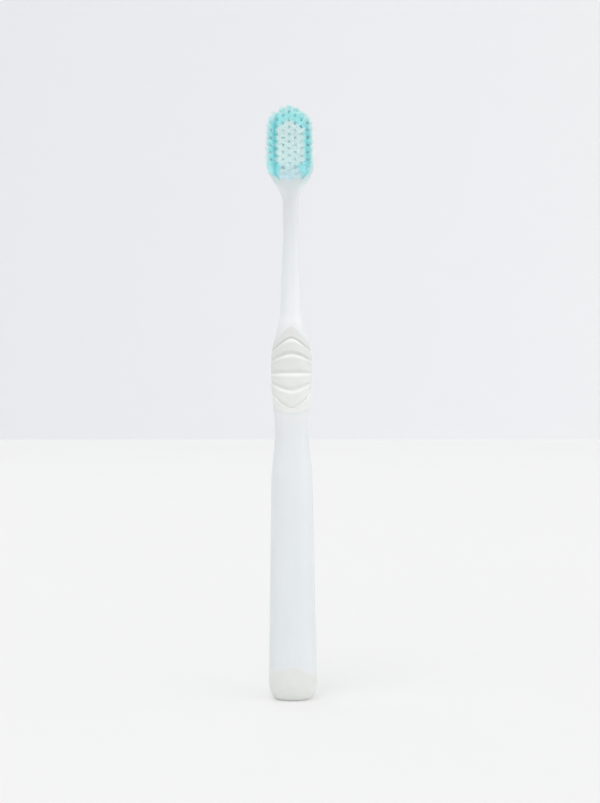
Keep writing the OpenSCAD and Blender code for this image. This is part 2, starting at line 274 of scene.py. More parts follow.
def tuft_places(column):
    """Across and up for each tuft of a column, and whether it is aqua."""
    steps_out = column - (COLUMNS - 1) / 2
    row = np.arange(TUFTS_IN_COLUMN[column])
    z = TOP_ROW_Z - (row + abs(steps_out) / 2) * PITCH_Z
    aqua = (row < TIP_AQUA) | (row >= TUFTS_IN_COLUMN[column] - HEEL_AQUA[column])
    return np.stack([np.full(len(row), steps_out * PITCH_X), z], axis=-1), aqua


HOLES = np.concatenate([tuft_places(column)[0] for column in range(COLUMNS)])
print(len(HOLES), "tufts,", round(PITCH_X, 2), "mm apart across and", round(PITCH_Z, 2), "mm up")

# %% [markdown]
# The handle core is the hard moulding: the tongue inside the end cap, the handle, the recess under the
# grip, the neck and the head. It is one tube of rings, and steps in and out where the soft pieces fit.
# The holes could be cut with a boolean, which would break the even rings. Instead the points inside a
# hole's circle are pushed back to its floor, and the points next to the circle are slid onto it, so that
# every rim is round and every wall is straight. This needs rings close together on the head, and wider
# steps do for the rest. Next to a soft piece the rings follow its bent edge, and they turn level again over
# a short height.

# %% Rings of the handle core
CAP_H, CAP_RISE, CAP_WALL, CAP_FLOOR = 10.4, 1.4, 1.6, 2.6
SLEEVE_Z, SLEEVE_H, SLEEVE_T = 93.1, 23.8, 1.3
LOW_RISE, TOP_RISE = -0.053 * SLEEVE_H, 0.139 * SLEEVE_H
SEAM = 0.02


def cap_rings(share, depth, gap=0.0):
    """Rings of the tongue or the socket, whose top edge rises at the front and back."""
    return skin(CAP_FLOOR + (CAP_H - CAP_FLOOR) * share + gap, CAP_RISE * share, depth)


def lining_rings(share, depth, gap=0.0):
    """Rings under the grip, which follow the slant of its two ends."""
    return skin(SLEEVE_Z + SLEEVE_H * share + gap, LOW_RISE + (TOP_RISE - LOW_RISE) * share, depth)


def between(low, high, step):
    """Heights from low to high, without the first, at most a step apart."""
    return np.linspace(low, high, int(np.ceil((high - low) / step)) + 1)[1:]


LEVEL_H = 1.5
HANDLE_STEP, NECK_STEP, FLARE_STEP, FIELD_STEP = 0.8, 0.6, 0.35, 0.13
FIELD_LOW_Z = 165.5
LINING_RINGS, TONGUE_RINGS, LEVEL_RINGS, TIP_RINGS = 12, 6, 4, 120

lining = np.linspace(0, 1, LINING_RINGS)
under_cap = np.linspace(0, 1, TONGUE_RINGS)
sleeve_end = SLEEVE_Z + SLEEVE_H
above_cap, below_grip = CAP_H + CAP_RISE + CAP_WALL, SLEEVE_Z + LOW_RISE - LEVEL_H
above_grip = sleeve_end + TOP_RISE + LEVEL_H
blend = np.linspace(0, 1, LEVEL_RINGS + 1)[1:]
cap_edge = skin(CAP_H + SEAM + (above_cap - CAP_H) * blend, CAP_RISE * (1 - blend))
grip_foot = skin(below_grip + (SLEEVE_Z - SEAM - below_grip) * blend[:-1], LOW_RISE * blend[:-1])
grip_top = skin(sleeve_end + SEAM + (above_grip - sleeve_end) * blend, TOP_RISE * (1 - blend))
tip_angle = np.linspace(0, np.pi / 2, TIP_RINGS + 2)[1:-1]
core_rings = np.concatenate([
    cap_rings(under_cap, CAP_WALL + SEAM, SEAM),
    cap_rings(1.0, 0.0, SEAM),
    cap_edge,
    skin(between(above_cap, below_grip, HANDLE_STEP)),
    grip_foot,
    lining_rings(0.0, 0.0, -SEAM),
    lining_rings(lining, SLEEVE_T + SEAM, SEAM * np.sign(lining - 0.5)),
    lining_rings(1.0, 0.0, SEAM),
    grip_top,
    skin(between(above_grip, FLARE_Z, NECK_STEP)),
    skin(between(FLARE_Z, FIELD_LOW_Z, FLARE_STEP)),
    skin(between(FIELD_LOW_Z, TIP_Z, FIELD_STEP)),
    skin(TIP_Z + TIP_H * np.sin(tip_angle)),
])
print("handle core:", core_rings.shape[0], "rings")


# %% Sink the tuft holes
SLIDE, PLAY = 0.08, 0.01


def sink_holes(points):
    """Points on the head's face and inside a hole's circle go to its floor, and those within the slide of
    the circle move onto it. The play is what a point may stand behind the face and still count."""
    facing = points[:, 1] < -FACE_DEPTH + PLAY
    across = points[:, None, [0, 2]] - HOLES[None]
    away = np.hypot(across[..., 0], across[..., 1])
    nearest = away.argmin(axis=1)
    row = np.arange(len(points))
    distance, offset = away[row, nearest], across[row, nearest]
    on_rim = facing & (np.abs(distance - HOLE_R) < SLIDE)
    inside = facing & (distance < HOLE_R)
    moved = points.copy()
    rim = HOLES[nearest] + offset * (HOLE_R / np.maximum(distance, 1e-6))[:, None]
    moved[on_rim, 0], moved[on_rim, 2] = rim[on_rim, 0], rim[on_rim, 1]
    moved[inside, 1] += HOLE_DEPTH
    print("hole points:", int(inside.sum()), "sunk and", int(on_rim.sum()), "slid onto a rim")
    return moved


head_rings = core_rings[:, 0, 2] > FIELD_LOW_Z
sunk = sink_holes(core_rings[head_rings].reshape(-1, 3))
core_rings[head_rings] = sunk.reshape(-1, len(DIRECTIONS), 3)
handle = closed_tube("hard_handle", core_rings, [0, 0, CAP_FLOOR + SEAM], [0, 0, TOTAL_H])

# %% [markdown]
# The thumb grip is a soft sleeve with five grooves that arch up towards the neck and down towards the foot.
# Grooves could be carved with a boolean or painted as bump. Here the sleeve's own rings follow the grooves,
# so a groove is only a dip in the depth of the rings near its line, and it keeps its edges crisp at any
# distance. A groove is a rounded V, shallower at the sides.

# %% The grooves of the thumb grip
GROOVE_SIDE = np.array([0.215, 0.367, 0.495, 0.655, 0.785])
GROOVE_RISE = np.array([-0.194, -0.104, 0.0, 0.093, 0.177]) * SLEEVE_H
GROOVE_W, GROOVE_FRONT_DEPTH, GROOVE_SIDE_DEPTH = 1.3, 0.6, 0.3
GROOVE_TOP, GROOVE_BOTTOM, GROOVE_LIP = 1.07, 0.1, 0.2
GRIP_RINGS, GROOVE_RINGS, GROOVE_SPAN = 90, 25, 0.6


def groove_shape(v):
    """How deep in a groove each ring lies, from nought to one: top - sqrt(t^2 + bottom^2), a V of slope
    one that is rounded at the bottom, and rounded again by the lip where it meets the surface."""
    t = np.abs(v[:, None] - GROOVE_SIDE).min(axis=1) * SLEEVE_H / (GROOVE_W / 2)
    return rounded_max(0.0 * t, GROOVE_TOP - np.hypot(t, GROOVE_BOTTOM), GROOVE_LIP)


near_groove = np.linspace(-GROOVE_SPAN, GROOVE_SPAN, GROOVE_RINGS) * GROOVE_W / SLEEVE_H
v = np.unique(np.concatenate([np.linspace(0, 1, GRIP_RINGS), *(near_groove + g for g in GROOVE_SIDE)]))
rise = np.interp(v, [0, *GROOVE_SIDE, 1], [LOW_RISE, *GROOVE_RISE, TOP_RISE])
dip = groove_shape(v)
outside = skin(SLEEVE_Z + SLEEVE_H * v, rise, GROOVE_SIDE_DEPTH * dip, GROOVE_FRONT_DEPTH * dip)
inside = lining_rings(lining[::-1], SLEEVE_T)
sleeve_rings = np.concatenate([outside, inside])
grip = make_piece("thumb_sleeve", sleeve_rings.reshape(-1, 3),
                  ring_faces(len(sleeve_rings), len(DIRECTIONS), wrap=True))

# %% [markdown]
# The soft skin doesn't look the same all over. The lower wall of each groove gets a painted highlight,
# a paler tone where light from above falls on it, and near both ends of the sleeve the skin runs out so
# thin that the hard core's tone comes through. Both could be masks made from the place in space, but they
# have to follow the bent lines of the grooves and ends. The rings follow those lines already, so each
# point gets the two values here, and the material only reads them. The inner wall, which nothing shows,
# gets the full painted highlight.

# %% Painted groove highlights, and where the skin of the grip is thin
HIGHLIGHT_SHIFT, HIGHLIGHT_HALF = 0.3, 0.32
HIGHLIGHT_AT = np.array([1.0, 0.4, 0.65, 0.45, 0.7])
LOW_END, TOP_END, TOP_SIDE = 0.09, 0.05, 0.17


def groove_highlight_shape(v):
    """Painted highlight on the soft skin, from nought to one: along the lower wall of each groove, by the
    bell exp(-t^4) times that groove's own share."""
    t = (v[:, None] - GROOVE_SIDE + HIGHLIGHT_SHIFT / SLEEVE_H) * SLEEVE_H / HIGHLIGHT_HALF
    return (np.exp(-(t**4)) * HIGHLIGHT_AT).max(axis=1)


# Painted highlight along the lower wall of each groove. The hidden inner wall gets the full value.
groove_highlight = np.concatenate([groove_highlight_shape(v), np.ones(len(inside))])
put_values(grip, "painted_groove_highlight", np.repeat(groove_highlight, len(DIRECTIONS)))
top_end = TOP_END + (TOP_SIDE - TOP_END) * (1 - arch(ARCH_POWER))
feathered = np.maximum(1 - ramp(v, 0, LOW_END)[:, None], ease(v[:, None], 1 - top_end, 1))
put_values(grip, "core_shows", np.concatenate([feathered, np.ones(inside.shape[:2])]))
print("the core shows through", round(float(feathered.mean()) * 100), "% of the outer rings' points")

# %% [markdown]
# The end cap is the soft foot that the brush stands on. Its bottom edge is a quarter ellipse, so its rings
# are spaced by angle there, and its top edge rises a little at the front and back where it meets the core.
# Inside is the socket that the tongue fills. The soft skin thins out below the top edge too, over a longer
# stretch at the sides than at the front, so the cap gets the same value as the grip for its material.

# %% The end cap
FRONT_FEATHER, SIDE_FEATHER = 1.2, 5.0
EDGE_RINGS, WALL_RINGS = 26, 21
edge_angle = np.linspace(0, np.pi / 2, EDGE_RINGS)
wall = np.linspace(0, 1, WALL_RINGS + 1)[1:]
foot_rings = np.concatenate([
    skin(FOOT_EDGE_H * (1 - np.cos(edge_angle))),
    skin(FOOT_EDGE_H + (CAP_H - FOOT_EDGE_H) * wall, CAP_RISE * wall),
    cap_rings(under_cap[::-1], CAP_WALL),
])
cap = closed_tube("soft_foot", foot_rings, [0, 0, 0], [0, 0, CAP_FLOOR])
edge_z = CAP_H + CAP_RISE * arch(ARCH_POWER)
feather = FRONT_FEATHER + (SIDE_FEATHER - FRONT_FEATHER) * (1 - arch(ARCH_POWER))
feathered = ease(foot_rings[..., 2], edge_z - feather, edge_z)
put_values(cap, "core_shows", np.concatenate([feathered.ravel(), [0, 0]]))

# %% [markdown]
# A tuft is a bundle of fine filaments folded in half round a metal strip, so that every filament shows two
# ends. It could be a hair system, but hair has no solid mesh to hand over. Here each filament is a thin
# square tube along its real path: down one side of the strip, round under it, up the other side and out of
# the hole. First come their places in the half of a hole on one side of the strip. The other half mirrors it.

# %% Where the filaments of a tuft stand
FILAMENT_D, PAIRS = 0.13, 54
STRIP_T, STRIP_LOW_Y = 0.25, 0.5
HALF_REACH = HOLE_R - FILAMENT_D / 2 - PLAY
HALF_LOW = STRIP_T / 2 + FILAMENT_D / 2


def half_hole_places(count):
    """About count places in the half of a hole above the strip: a spiral of equal areas, turned by the
    golden angle, stretched to fill the half disc between the strip and the wall."""
    k = np.arange(2 * count)
    r = np.sqrt((k + 0.5) / len(k))
    turn = k * np.pi * (3 - np.sqrt(5))
    x, z = (r * np.cos(turn))[np.sin(turn) > 0], (r * np.sin(turn))[np.sin(turn) > 0]
    top = np.sqrt(np.maximum(HALF_REACH**2 * (1 - x * x), HALF_LOW**2))
    return np.stack([HALF_REACH * x, HALF_LOW + (top - HALF_LOW) * z / np.sqrt(1 - x * x)], axis=-1)


HALF = half_hole_places(PAIRS)
print(len(HALF), "folded filaments in a tuft,", 2 * len(HALF), "ends")

# %% [markdown]
# The ends of all the tufts fill one outline, round at the top and squarer at the heel, where the head meets
# the neck. A tuft near the edge of the field opens in its own way, because fewer neighbours hold it. Each
# tuft could be shaped by hand, but then none would follow when a size changes. Here a few shares from nought
# to one say where a tuft stands, and the paths further on are bent by them. Each pair of numbers is the
# stretch over which a share changes, in millimetres or in shares of the outline.

# %% The field's outline and its edges
FIELD_MIDDLE = np.array([0, TOP_ROW_Z - FIELD_H / 2])
OUTLINE, TOP_POWER, HEEL_POWER = np.array([7.4, 11.2]), 2.4, 4.5
HANGS_BELOW, HANGS_WITHIN = (7.8, 8.4), (2.0, 3.0)
CORNER_BELOW, CORNER_BEYOND = (8.5, 9.5), (2.5, 3.5)
TOP_SHARES, TOP_HEIGHTS = (0.74, 0.82), (183, 184)
FREE_BEYOND, FREE_ABOVE = (4.5, 5.4), (180.5, 183.5)


def outline_share(end):
    """One on the field's outline |x / a|^n + |z / b|^n = 1, and less inside it. The lower half has a
    higher power n, so it is squarer."""
    share = (end - FIELD_MIDDLE) / OUTLINE
    top = np.linalg.norm(share, ord=TOP_POWER, axis=-1)
    return np.where(share[..., 1] > 0, top, np.linalg.norm(share, ord=HEEL_POWER, axis=-1))


def heel_middle(root):
    """One for the last tuft of each of the three middle columns, whose filaments hang over the heel."""
    return ramp(FIELD_MIDDLE[1] - root[:, 1], *HANGS_BELOW) * (1 - ramp(np.abs(root[:, 0]), *HANGS_WITHIN))


def heel_corner(root):
    """One for the last tuft next to an outer column, which spreads into the corner of the heel."""
    return ramp(FIELD_MIDDLE[1] - root[:, 1], *CORNER_BELOW) * ramp(np.abs(root[:, 0]), *CORNER_BEYOND)


def top_edge(root):
    """From about a half to one for the highest tuft of each column, and nought for the tufts below it."""
    return ramp(outline_share(root), *TOP_SHARES) * ramp(root[:, 1], *TOP_HEIGHTS)


def freedom(root):
    """One for the outer columns and the top rows, whose tufts stand freer, and less just below these."""
    return np.maximum(ramp(np.abs(root[:, 0]), *FREE_BEYOND), ramp(root[:, 1], *FREE_ABOVE))


for share in (heel_middle, heel_corner, top_edge, freedom):
    print(share.__name__, "above nought for", int((share(HOLES) > 0).sum()), "tufts")

# %% [markdown]
# Above the face a tuft opens. Its ends spread more across the head than along it, because the strip lies
# across the head and presses its two halves apart only a little, and the whole field fans out. The parting
# over the strip shows as a waist, which is deeper where a tuft stands free. The highest tufts are narrower,
# and the tufts at the heel's corners are wider and reach into the corner. Some filaments of the outer tufts
# stray towards the outline.

# %% Where the filaments end
END_HALF_W, END_HALF_H, END_WAIST, WAIST_SHARE = 1.55, 1.12, 0.38, 0.17
FREE_WAIST, FREE_WIDER, MIN_ROOM = 0.9, 0.5, 0.02
FAN, CORNER_LEAN = 0.07, 1.1
FIELD_HALF = [(COLUMNS - 1) / 2 * PITCH_X, FIELD_H / 2]
STRAY_MOST, STRAY_RING, STRAY_POWER, OUTER_SIDE = 0.3, (0.75, 0.9), 4, 0.7


def tuft_end(root, place):
    """Where each filament of the upper half ends, from its place in the hole. Across, the tuft opens to
    its end's half width. Along the head it fills a height h sqrt(1 - u^4), which is less by the waist's
    share near u = 0, with u the share of the half width, because the fold parts it to both sides."""
    u = np.abs(place[:, 0]) / HALF_REACH
    room = (HALF_REACH * np.sqrt(1 - u * u) - HALF_LOW).clip(MIN_ROOM)
    v = ((place[:, 1] - HALF_LOW) / room).clip(0, 1)
    free = freedom(root)
    waist = END_WAIST * (1 + FREE_WAIST * free)
    wide = WAIST_SHARE * (1 + FREE_WIDER * free)
    height = END_HALF_H * np.sqrt(1 - u**4) * (1 - waist * np.exp(-((u / wide) ** 2)))
    return np.stack([place[:, 0] / HALF_REACH * END_HALF_W, v * height], axis=-1)


def fanned(root):
    """The middle of a tuft's ends: its hole, moved away from the field's middle by the fan's share, and
    further outwards and up at the corners of the heel."""
    corner = heel_corner(root)[:, None] * np.stack([np.sign(root[:, 0]), np.ones(len(root))], axis=-1)
    return root + FAN * (root - FIELD_MIDDLE) + CORNER_LEAN * corner


def stray(root, end, share):
    """How far the filaments of the outer tufts lean out: by their share of the way to the outline. Those
    that end beyond the outline come back to it. A tuft stands (x^4 + z^4)^(1/4) of the way out, with x and
    z its shares of the field's half width and half height."""
    ring = np.linalg.norm((root - FIELD_MIDDLE) / FIELD_HALF, ord=STRAY_POWER, axis=-1)
    out = 1 / outline_share(end) - 1
    out = np.where(out < 0, out, out.clip(0, STRAY_MOST) * share * ramp(ring, *STRAY_RING))
    return (end - FIELD_MIDDLE) * out[:, None]


def outward(root, place):
    """Share of the way from a tuft's middle to its outer side at which a filament stands."""
    out = (root - FIELD_MIDDLE) / OUTLINE
    out = out / np.linalg.norm(out, axis=-1, keepdims=True).clip(1e-6)
    return ramp((place / HOLE_R * out).sum(axis=-1), 0.0, OUTER_SIDE)


widest = np.abs(tuft_end(np.zeros_like(HALF), HALF)).max(axis=0)
print("a tuft opens from", 2 * HOLE_R, "mm to", [round(2 * float(size), 2) for size in widest], "mm")

# %% [markdown]
# In the photograph all the tufts lean a little to one side and down, and the last ones hang over the heel,
# so their ends are moved that way. The filaments are trimmed to one length, give or take a hair, and each
# wanders and bends a little in its own way. Every draw comes from a generator with a fixed seed, so the
# brush is the same each time it is made. The filaments of a node are worked out as one array.

# %% Paths of the filaments
TUFT_LEN, FOLD_DEPTH, ROUND_END = 10.5, 0.42, 0.05
FIELD_LEAN = np.array([-0.3, -0.42])
CORNER_WIDER, TOP_NARROWER = 0.2, 0.3
HEEL_DROP, HEEL_SPREAD = 0.4, 1.0
WANDER, OUTER_WANDER, BEND, TRIM = 0.15, 0.8, 0.10, 0.08
REACH_X = 8.05
FREE_STEPS = np.array([0.0, 0.35, 0.65, 0.85, 1.0])
OPENING_POWER, WANDER_POWER = 1.3, 4
FOLD_ANGLES = np.radians([45, 90, 135])


def one_side(root, place, side, rng):
    """Stations of the free side of each filament, from the strip to its rounded end. A point is at
    start + (end - start) t^1.3 + bend 4 t (1 - t) + wander t^4, with t the share of the free length, and
    never further across than the reach."""
    count, t = len(root), FREE_STEPS[None, :, None]
    start = root + place * [1, side]
    opened = tuft_end(root, place) * [1, side] * (1 + CORNER_WIDER * heel_corner(root)[:, None])
    if side > 0:
        opened[:, 0] *= 1 - TOP_NARROWER * top_edge(root)
    end = fanned(root) + opened
    outer = outward(root, place * [1, side])
    end += stray(root, end, rng.random(count) * outer) + FIELD_LEAN
    end[:, 1] -= heel_middle(root) * (HEEL_DROP + HEEL_SPREAD * rng.random(count) ** 2)
    length = TUFT_LEN + rng.normal(0, TRIM, count).clip(-2 * TRIM, 2 * TRIM)
    bend = rng.normal(0, BEND, (count, 2))
    wander = rng.normal(0, WANDER, (count, 1, 2)).clip(-2 * WANDER, 2 * WANDER)
    free = start[:, None] + (end - start)[:, None] * t**OPENING_POWER + bend[:, None] * t * (1 - t) * 4
    free += wander * t**WANDER_POWER * (1 + OUTER_WANDER * outer[:, None, None])
    free[..., 0] = free[..., 0].clip(-REACH_X, REACH_X)
    tip = free[:, -1:] + (free[:, -1:] - free[:, -2:-1]) * ROUND_END
    flat = np.concatenate([start[:, None], free, tip], axis=1)
    y = -FACE_DEPTH - length[:, None] * FREE_STEPS
    y = np.concatenate([np.full((count, 1), STRIP_LOW_Y), y, y[:, -1:] - ROUND_END], axis=1)
    return np.stack([flat[..., 0], y, flat[..., 1]], axis=-1)


def fold(root, place):
    """Stations under the strip: a half ellipse from one side of it to the other."""
    z = root[:, 1, None] + place[:, 1, None] * np.cos(FOLD_ANGLES)
    y = STRIP_LOW_Y + FOLD_DEPTH * place[:, 1, None] / HOLE_R * np.sin(FOLD_ANGLES)
    return np.stack([np.broadcast_to(root[:, 0, None] + place[:, 0, None], z.shape), y, z], axis=-1)


def filament_paths(roots, rng):
    """Stations of every filament of these tufts, from one end under the strip to the other end, and the
    places of its two ends across and up."""
    root, place = np.repeat(roots, len(HALF), axis=0), np.tile(HALF, (len(roots), 1))
    up, down = one_side(root, place, 1, rng), one_side(root, place, -1, rng)
    ends = np.stack([up[:, -1, [0, 2]], down[:, -1, [0, 2]]])
    return np.concatenate([up[:, ::-1], fold(root, place), down], axis=1), ends


print("each filament has", 2 * (len(FREE_STEPS) + 2) + len(FOLD_ANGLES), "stations from end to end")

# %% [markdown]
# How pale a filament looks depends on where it ends. Light gets into the ends round the outline from the
# side, so they are pale, and they stand in upright streaks along the top. The white tufts turn hazy towards
# the heel. On each side of the field, where one looks between the columns, there is a darker line. Lamps
# alone don't bring this out on plain tubes, so it is worked out here from the place of each end.

# %% Pale and shaded ends
RIM_SHARES, RIM_HEIGHTS = (0.78, 0.98), (166, 174)
TOP_STREAK, STREAK_HEIGHTS = 0.1, (180, 185)
HAZE_HEIGHTS = (167.5, 171.5)
SHADE_MIDDLE, SHADE_X, SHADE_HALF, SHADE_RIGHT = 0.28, 5.15, 0.7, 0.6


def outer_pale(end):
    """How pale an aqua end is: more towards the outline, but not at the heel. Along the top it is paler
    between the columns than on them, by -cos(2 pi x / pitch)."""
    place = end - FIELD_LEAN
    columns = -np.cos(2 * np.pi * place[..., 0] / (PITCH_X * (1 + FAN)))
    streak = TOP_STREAK * columns * ramp(end[..., 1], *STREAK_HEIGHTS)
    return ramp(outline_share(place) + streak, *RIM_SHARES) * ramp(end[..., 1], *RIM_HEIGHTS)


def heel_pale(end):
    """How hazy a white end is: more towards the heel."""
    return 1 - ramp(end[..., 1], *HAZE_HEIGHTS)


def side_shade(end):
    """A bell exp(-t^2) about an upright line on each side of the field, weaker on the right."""
    across = end[..., 0] - SHADE_MIDDLE
    return np.exp(-(((np.abs(across) - SHADE_X) / SHADE_HALF) ** 2)) * np.where(across > 0, SHADE_RIGHT, 1)


print("shaded lines", [round(SHADE_MIDDLE + side * SHADE_X, 2) for side in (-1, 1)], "mm across")

# %% [markdown]
# A thin tube is carried along each path. Its section has four corners, set out on two directions square to
# the path: one leans on the X axis, which no filament follows, so the frame never flips. The square has the
# area of the round filament. The last ring at each end is smaller, as the ground ends of real filaments are
# round. Real filaments let light through, and their shadows on each other are faint. Following light
# through thousands of clear tubes would take long and leave noise, so these tubes are plain, and are left
# out of shadows and of light that bounces.

# %% Tubes along the paths
TUBE_CORNERS = np.radians([45, 135, 225, 315])
TUBE_R = FILAMENT_D / 2 * np.sqrt(np.pi / 2)
TIP_SHARE = 0.6


def filament_mesh(name, roots, seed, pale):
    """One mesh of all filaments of these tufts. Each has a tone from nought to one, and a pale and a shade
    value by the place of its ends."""
    rng = np.random.default_rng(seed)
    paths, ends = filament_paths(roots, rng)
    count, stations = paths.shape[:2]
    along_path = np.gradient(paths, axis=1)
    along_path /= np.linalg.norm(along_path, axis=-1, keepdims=True)
    first = np.array([1.0, 0, 0]) - along_path * along_path[..., :1]
    first /= np.linalg.norm(first, axis=-1, keepdims=True)
    second = np.cross(along_path, first)
    cos, sin = np.cos(TUBE_CORNERS)[:, None], np.sin(TUBE_CORNERS)[:, None]
    radius = np.full((stations, 1, 1), TUBE_R)
    radius[[0, -1]] *= TIP_SHARE
    points = paths[:, :, None] + (first[:, :, None] * cos + second[:, :, None] * sin) * radius
    last = 4 * (stations - 1)
    one = np.concatenate([ring_faces(stations, 4), [[3, 2, 1, 0], [last, last + 1, last + 2, last + 3]]])
    quads = one[None] + 4 * stations * np.arange(count)[:, None, None]
    piece = make_piece(name, points.reshape(-1, 3), quads.reshape(-1, 4), crease=None)
    half_way = (np.arange(stations) > stations // 2).astype(int)
    put_values(piece, "filament_tone", np.repeat(rng.random(count), stations * 4))
    for label, value in (("filament_pale", pale(ends)), ("filament_shade", side_shade(ends))):
        put_values(piece, label, np.repeat(value[half_way].T.ravel(), 4))
    piece.visible_shadow = piece.visible_diffuse = False
    return piece


# %% [markdown]
# The filaments of a real tuft are packed so close that one can't look between them to the other side. More
# tubes would do that, but each costs time and memory. So inside each bundle goes a packed heart: one closed
# tube that widens with the tuft and stops short of its ends. It follows the tuft's fan and lean, and stays
# within the field's outline.

# %% Hearts of the tufts
HEART_AROUND, HEART_SHARE, HEART_OUTLINE, HEART_STRAY = 18, 0.8, 0.9, 0.2
HEART_START, HEART_STOP = -0.05, 0.9


def hearts(name, roots):
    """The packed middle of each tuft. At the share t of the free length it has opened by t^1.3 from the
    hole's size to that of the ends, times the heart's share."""
    t = np.concatenate([[HEART_START], FREE_STEPS[:-1], [HEART_STOP]])
    opened = t.clip(0) ** OPENING_POWER
    angle = np.linspace(0, 2 * np.pi, HEART_AROUND, endpoint=False)
    wide = HEART_SHARE * (HOLE_R + (END_HALF_W - HOLE_R) * opened)
    tall = HEART_SHARE * (HOLE_R + (END_HALF_H * (1 - END_WAIST / 2) - HOLE_R) * opened)
    end = fanned(roots) + FIELD_LEAN
    centre = roots[:, None] + (end + stray(roots, end, HEART_STRAY) - roots)[:, None] * opened[:, None]
    x = centre[..., 0, None] + wide[:, None] * np.cos(angle)
    z = centre[..., 1, None] + tall[:, None] * np.sin(angle)
    flat = np.stack([x, z], axis=-1)
    inwards = 1 / np.maximum(outline_share(flat) / HEART_OUTLINE, 1)
    flat = FIELD_MIDDLE + (flat - FIELD_MIDDLE) * inwards[..., None]
    y = np.broadcast_to((-FACE_DEPTH - TUFT_LEN * t)[:, None], x.shape)
    rings = np.stack([flat[..., 0], y, flat[..., 1]], axis=-1)
    middles = rings[:, [0, -1]].mean(axis=2)
    points = np.concatenate([rings.reshape(len(roots), -1, 3), middles], axis=1)
    step = points.shape[1] * np.arange(len(roots))[:, None, None]
    side, fans = ring_faces(len(t), HEART_AROUND) + step, end_fans(len(t), HEART_AROUND) + step
    return make_piece(name, points.reshape(-1, 3), side.reshape(-1, 4), fans.reshape(-1, 3))


# %% Make the tufts
FIRST_SEED = 7
filaments, tuft_hearts = {}, {}
for column in range(COLUMNS):
    places, aqua = tuft_places(column)
    for colour, chosen, pale in (("aqua", aqua, outer_pale), ("white", ~aqua, heel_pale)):
        if chosen.any():
            node, roots = f"{colour}_tufts_column_{column + 1}", places[chosen]
            label = f"{colour}_filaments_{column + 1}"
            filaments[node] = filament_mesh(label, roots, FIRST_SEED + column, pale)
            tuft_hearts[node] = hearts(f"{colour}_hearts_{column + 1}", roots)

# %% [markdown]
# The real surfaces are not one flat colour. Moulded plastic has faint clouds where it flowed, its gloss
# changes a little from place to place, and soft rubber and metal have a fine grain. A material is a tree of
# nodes, most of them of the same few kinds, so helpers that make one kind each come first and keep the
# materials short to read.


# %% Helpers for nodes
def add(tree, kind, inputs=(), **settings):
    """A node of that kind. Each input is set to a value, or joined if it is given a socket."""
    node = tree.nodes.new(kind)
    for key, value in settings.items():
        setattr(node, key, value)
    for key, value in dict(inputs).items():
        if isinstance(value, bpy.types.NodeSocket):
            tree.links.new(value, node.inputs[key])
        else:
            node.inputs[key].default_value = value
    return node


def calculate(tree, operation, *values):
    """The result of one sum on numbers or sockets."""
    return add(tree, "ShaderNodeMath", dict(enumerate(values)), operation=operation).outputs[0]


def share_between(tree, value, low, high):
    """The share of the way from low to high that a value has gone, held between nought and one."""
    inputs = {"Value": value, "From Min": low, "From Max": high}
    return add(tree, "ShaderNodeMapRange", inputs).outputs["Result"]


def between_values(tree, mask, low, high):
    """A number between low and high by the mask."""
    return add(tree, "ShaderNodeMapRange", {"Value": mask, "To Min": low, "To Max": high}).outputs["Result"]


# %% Helpers for colours and places
def two_tone(tree, mask, low, high):
    """A colour between low and high by the mask."""
    return add(tree, "ShaderNodeMix", {0: mask, 6: low, 7: high}, data_type="RGBA").outputs[2]


def scaled(tree, colour, share):
    """A colour times a number."""
    return add(tree, "ShaderNodeVectorMath", {0: colour, "Scale": share}, operation="SCALE").outputs[0]


def stretched(tree, vector, factors):
    """A place times a factor on each axis."""
    return add(tree, "ShaderNodeVectorMath", {0: vector, 1: factors}, operation="MULTIPLY").outputs[0]


def axis_of(tree, place, axis):
    """One coordinate of a place."""
    return add(tree, "ShaderNodeSeparateXYZ", {"Vector": place}).outputs[axis]


def mesh_value(tree, label):
    """The number that a piece's mesh holds under that label."""
    return add(tree, "ShaderNodeAttribute", attribute_name=label).outputs["Fac"]


def srgb(red, green, blue):
    """A colour as a screen shows it, from nought to one, turned into the light that it stands for."""
    c = np.array([red, green, blue])
    return (*np.where(c <= 0.04045, c / 12.92, ((c + 0.055) / 1.055) ** 2.4), 1.0)


print("a screen's middle grey stands for", round(float(srgb(0.5, 0.5, 0.5)[0]), 3), "of the light of white")

# %% [markdown]
# More than one material needs clouds and grain, so each is a node group with named sockets, built once. A
# group puts out only a mask or a normal, and the shader itself stays in the material.


# %% Clouds and grain
def new_group(name, inputs, outputs):
    """An empty shader group with those sockets, and its two end nodes."""
    tree = bpy.data.node_groups.new(name, "ShaderNodeTree")
    for label, kind, value in inputs:
        socket = tree.interface.new_socket(label, in_out="INPUT", socket_type=kind)
        if value is not None:
            socket.default_value = value
    for label, kind in outputs:
        tree.interface.new_socket(label, in_out="OUTPUT", socket_type=kind)
    return tree, tree.nodes.new("NodeGroupInput").outputs, tree.nodes.new("NodeGroupOutput").inputs


clouds, given, result = new_group(
    "soft clouds",
    [("Vector", "NodeSocketVector", None), ("Stretch", "NodeSocketVector", (1, 1, 1)),
     ("Scale", "NodeSocketFloat", 100.0), ("Contrast", "NodeSocketFloat", 1.0)],
    [("Mask", "NodeSocketFloat")],
)
noise = add(clouds, "ShaderNodeTexNoise", {"Vector": stretched(clouds, given["Vector"], given["Stretch"]),
                                           "Scale": given["Scale"], "Detail": 3.0, "Roughness": 0.55})
centred = calculate(clouds, "SUBTRACT", noise.outputs["Fac"], 0.5)
mask = add(clouds, "ShaderNodeMath", {0: centred, 1: given["Contrast"], 2: 0.5},
           operation="MULTIPLY_ADD", use_clamp=True)
clouds.links.new(mask.outputs[0], result["Mask"])

